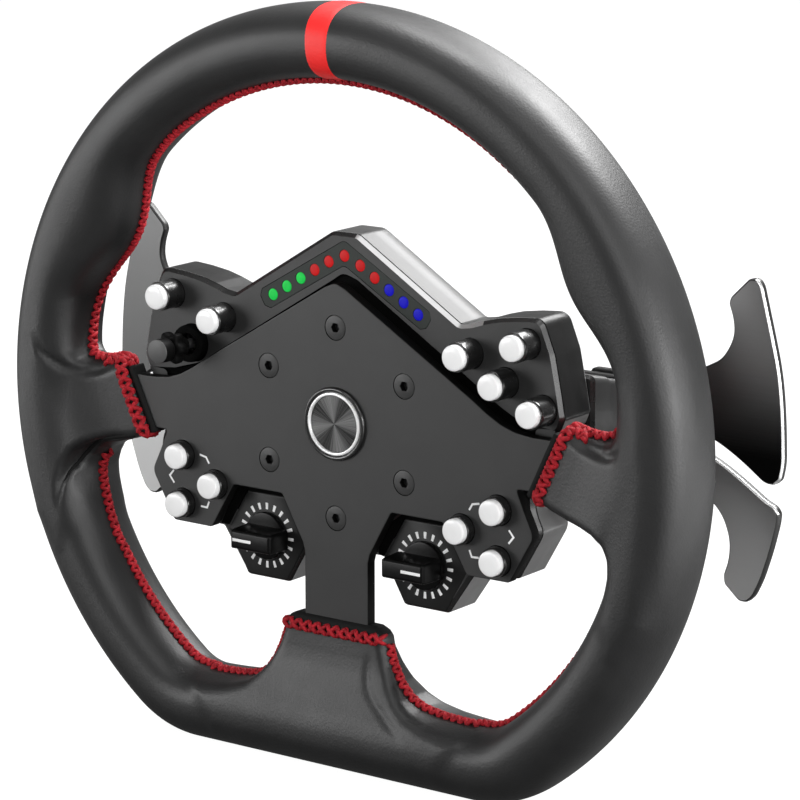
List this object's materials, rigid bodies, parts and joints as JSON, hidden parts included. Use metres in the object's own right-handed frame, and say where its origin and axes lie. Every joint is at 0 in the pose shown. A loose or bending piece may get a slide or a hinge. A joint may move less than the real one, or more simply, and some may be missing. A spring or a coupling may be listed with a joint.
{
  "type": "racing wheel",
  "caption": "Flat-bottomed racing wheel rim with leather grip, button plate with shift lights, dials, thumb stick, shift and clutch paddles, and a quick-release hub.",
  "frame": {"origin": "centre of the quick-release bore at its mouth, at the back of the hub", "axes": "+Y out of the bore's mouth, away from the driver; the face with the buttons looks along -Y; +X to the driver's right; +Z to the twelve o'clock marker"},
  "size_m": [0.3018, 0.0895, 0.2802],
  "materials": {
    "grip_leather": "soft perforation-free leather, low sheen",
    "marker_leather": "dyed smooth leather",
    "steel": "plain steel",
    "plate": "fine matte powder coat",
    "bolt_black": "black oxide",
    "badge_black": "gloss black",
    "badge_ring": "bright",
    "badge_disc": "radially brushed, dark",
    "case": "fine texture",
    "window": "tinted",
    "board": "solder mask",
    "lights": "clear lenses; three green, five red, three blue from left to right",
    "switches": "moulded",
    "barrel_black": "gloss black",
    "nuts": "plain",
    "cap_white": "gloss white",
    "stick_metal": "plain",
    "stick_black": "satin",
    "dial_face": "printed scale",
    "encoder": "die cast",
    "knob_black": "satin, white pointer line",
    "paddle_arm": "moulded",
    "blade": "grey anodised, brushed",
    "hub": "dark anodised",
    "collar": "black anodised, knurled",
    "contacts": "block with gold contacts"
  },
  "bodies": {
    "wheel": {"rim_grip": "grip_leather", "rim_hoop": "steel", "centre_marker": "marker_leather", "face_plate": "plate", "plate_bolts": "bolt_black", "badge_cup": "badge_black", "badge_ring": "badge_ring", "badge_disc": "badge_disc", "front_shell": "case", "rear_shell": "case", "shell_screws": "steel", "light_window": "window", "light_board": "board", "shift_lights": "lights", "main_board": "board", "button_switches": "switches", "button_barrels": "barrel_black", "button_nuts": "nuts", "stick_base": "stick_black", "dial_plates": "dial_face", "dial_encoders": "encoder", "paddle_housing": "case", "module_screws": "steel", "paddle_pins": "steel", "hub_body": "hub", "collar_spring": "steel", "retaining_ring": "steel", "locking_balls": "steel", "contact_block": "contacts"},
    "cap_top_left_outer": {"cap_top_left_outer": "cap_white"},
    "cap_top_left_inner": {"cap_top_left_inner": "cap_white"},
    "cap_top_right_outer": {"cap_top_right_outer": "cap_white"},
    "cap_top_right_inner": {"cap_top_right_inner": "cap_white"},
    "cap_mid_right_inner": {"cap_mid_right_inner": "cap_white"},
    "cap_mid_right_outer": {"cap_mid_right_outer": "cap_white"},
    "cap_low_left_upper": {"cap_low_left_upper": "cap_white"},
    "cap_low_left_lower": {"cap_low_left_lower": "cap_white"},
    "cap_low_left_inner": {"cap_low_left_inner": "cap_white"},
    "cap_low_right_upper": {"cap_low_right_upper": "cap_white"},
    "cap_low_right_lower": {"cap_low_right_lower": "cap_white"},
    "cap_low_right_inner": {"cap_low_right_inner": "cap_white"},
    "stick_yoke": {"stick_yoke": "stick_metal"},
    "stick_carrier": {"stick_carrier": "stick_metal"},
    "stick_shaft": {"stick_shaft": "stick_metal"},
    "stick_knob": {"stick_knob": "stick_black"},
    "dial_knob_left": {"dial_knob_left": "knob_black"},
    "dial_knob_right": {"dial_knob_right": "knob_black"},
    "shift_paddle_left": {"shift_arm_left": "paddle_arm", "shift_blade_left": "blade", "shift_screws_left": "steel"},
    "shift_paddle_right": {"shift_arm_right": "paddle_arm", "shift_blade_right": "blade", "shift_screws_right": "steel"},
    "clutch_paddle_left": {"clutch_arm_left": "paddle_arm", "clutch_blade_left": "blade", "clutch_screws_left": "steel"},
    "clutch_paddle_right": {"clutch_arm_right": "paddle_arm", "clutch_blade_right": "blade", "clutch_screws_right": "steel"},
    "release_collar": {"release_collar": "collar"}
  },
  "joints": [
    {"name": "top_left_outer_press", "type": "slide", "parent": "wheel", "child": "cap_top_left_outer", "axis": [0, 1, 0], "range_m": [0, 0.0014], "stiffness_N_per_m": 1500, "springref_m": -0.001},
    {"name": "top_left_inner_press", "type": "slide", "parent": "wheel", "child": "cap_top_left_inner", "axis": [0, 1, 0], "range_m": [0, 0.0014], "stiffness_N_per_m": 1500, "springref_m": -0.001},
    {"name": "top_right_outer_press", "type": "slide", "parent": "wheel", "child": "cap_top_right_outer", "axis": [0, 1, 0], "range_m": [0, 0.0014], "stiffness_N_per_m": 1500, "springref_m": -0.001},
    {"name": "top_right_inner_press", "type": "slide", "parent": "wheel", "child": "cap_top_right_inner", "axis": [0, 1, 0], "range_m": [0, 0.0014], "stiffness_N_per_m": 1500, "springref_m": -0.001},
    {"name": "mid_right_inner_press", "type": "slide", "parent": "wheel", "child": "cap_mid_right_inner", "axis": [0, 1, 0], "range_m": [0, 0.0014], "stiffness_N_per_m": 1500, "springref_m": -0.001},
    {"name": "mid_right_outer_press", "type": "slide", "parent": "wheel", "child": "cap_mid_right_outer", "axis": [0, 1, 0], "range_m": [0, 0.0014], "stiffness_N_per_m": 1500, "springref_m": -0.001},
    {"name": "low_left_upper_press", "type": "slide", "parent": "wheel", "child": "cap_low_left_upper", "axis": [0, 1, 0], "range_m": [0, 0.0014], "stiffness_N_per_m": 1500, "springref_m": -0.001},
    {"name": "low_left_lower_press", "type": "slide", "parent": "wheel", "child": "cap_low_left_lower", "axis": [0, 1, 0], "range_m": [0, 0.0014], "stiffness_N_per_m": 1500, "springref_m": -0.001},
    {"name": "low_left_inner_press", "type": "slide", "parent": "wheel", "child": "cap_low_left_inner", "axis": [0, 1, 0], "range_m": [0, 0.0014], "stiffness_N_per_m": 1500, "springref_m": -0.001},
    {"name": "low_right_upper_press", "type": "slide", "parent": "wheel", "child": "cap_low_right_upper", "axis": [0, 1, 0], "range_m": [0, 0.0014], "stiffness_N_per_m": 1500, "springref_m": -0.001},
    {"name": "low_right_lower_press", "type": "slide", "parent": "wheel", "child": "cap_low_right_lower", "axis": [0, 1, 0], "range_m": [0, 0.0014], "stiffness_N_per_m": 1500, "springref_m": -0.001},
    {"name": "low_right_inner_press", "type": "slide", "parent": "wheel", "child": "cap_low_right_inner", "axis": [0, 1, 0], "range_m": [0, 0.0014], "stiffness_N_per_m": 1500, "springref_m": -0.001},
    {"name": "stick_up_down", "type": "hinge", "parent": "wheel", "child": "stick_yoke", "pos_m": [-0.07, -0.064, 0.0203], "axis": [1, 0, 0], "range_deg": [-7, 7], "stiffness_Nm_per_rad": 0.08},
    {"name": "stick_left_right", "type": "hinge", "parent": "stick_yoke", "child": "stick_carrier", "pos_m": [-0.07, -0.064, 0.0203], "axis": [0, 0, 1], "range_deg": [-7, 7], "stiffness_Nm_per_rad": 0.08},
    {"name": "stick_press", "type": "slide", "parent": "stick_carrier", "child": "stick_shaft", "axis": [0, 1, 0], "range_m": [0, 0.0007], "stiffness_N_per_m": 2500, "springref_m": -0.0008},
    {"name": "stick_turn", "type": "hinge", "parent": "stick_shaft", "child": "stick_knob", "pos_m": [-0.07, -0.064, 0.0203], "axis": [0, 1, 0], "continuous": true},
    {"name": "dial_left_turn", "type": "hinge", "parent": "wheel", "child": "dial_knob_left", "pos_m": [-0.0358, -0.069, -0.0479], "axis": [0, 1, 0], "continuous": true},
    {"name": "dial_right_turn", "type": "hinge", "parent": "wheel", "child": "dial_knob_right", "pos_m": [0.0358, -0.069, -0.0479], "axis": [0, 1, 0], "continuous": true},
    {"name": "shift_left_pull", "type": "hinge", "parent": "wheel", "child": "shift_paddle_left", "pos_m": [-0.058, -0.0197, 0], "axis": [0, 0, 1], "range_deg": [0, 3.5], "stiffness_Nm_per_rad": 3, "springref_deg": -5.73},
    {"name": "shift_right_pull", "type": "hinge", "parent": "wheel", "child": "shift_paddle_right", "pos_m": [0.058, -0.0197, 0], "axis": [0, 0, -1], "range_deg": [0, 3.5], "stiffness_Nm_per_rad": 3, "springref_deg": -5.73},
    {"name": "clutch_left_pull", "type": "hinge", "parent": "wheel", "child": "clutch_paddle_left", "pos_m": [-0.058, -0.0197, 0], "axis": [0, 0, 1], "range_deg": [0, 12], "stiffness_Nm_per_rad": 1.2, "springref_deg": -14.32},
    {"name": "clutch_right_pull", "type": "hinge", "parent": "wheel", "child": "clutch_paddle_right", "pos_m": [0.058, -0.0197, 0], "axis": [0, 0, -1], "range_deg": [0, 12], "stiffness_Nm_per_rad": 1.2, "springref_deg": -14.32},
    {"name": "collar_pull", "type": "slide", "parent": "wheel", "child": "release_collar", "axis": [0, -1, 0], "range_m": [0, 0.0035], "stiffness_N_per_m": 1500, "springref_m": -0.004, "deforming": ["collar_spring"]}
  ]
}
